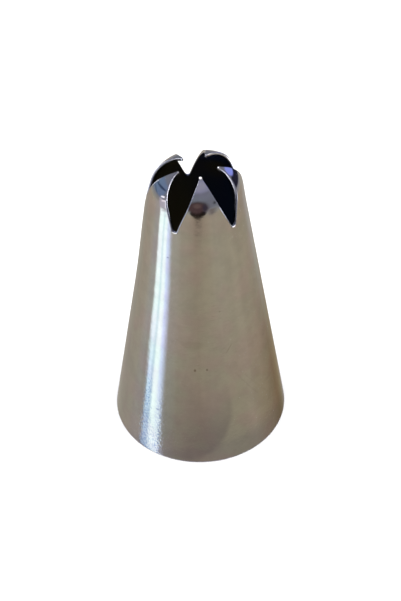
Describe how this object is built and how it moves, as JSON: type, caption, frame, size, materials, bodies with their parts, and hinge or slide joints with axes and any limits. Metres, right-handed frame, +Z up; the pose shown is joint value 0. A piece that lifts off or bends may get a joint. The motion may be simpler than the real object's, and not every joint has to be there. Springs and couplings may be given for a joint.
{
  "type": "piping nozzle",
  "caption": "Conical sheet-metal piping nozzle with an open star mouth, cut into teeth that curl in over the narrow end, for shaping icing or cream from a decorating bag.",
  "frame": {"origin": "centre of the circle on which the wide base rim stands", "axes": "+Z up the cone's axis, from the base rim to the star mouth; one tooth of the mouth faces -Y"},
  "size_m": [0.025, 0.025, 0.0428],
  "materials": {
    "stainless": "polished stainless sheet, mirror-like with a fine drawn grain"
  },
  "bodies": {
    "root": {"nozzle_shell": "stainless"}
  },
  "joints": []
}
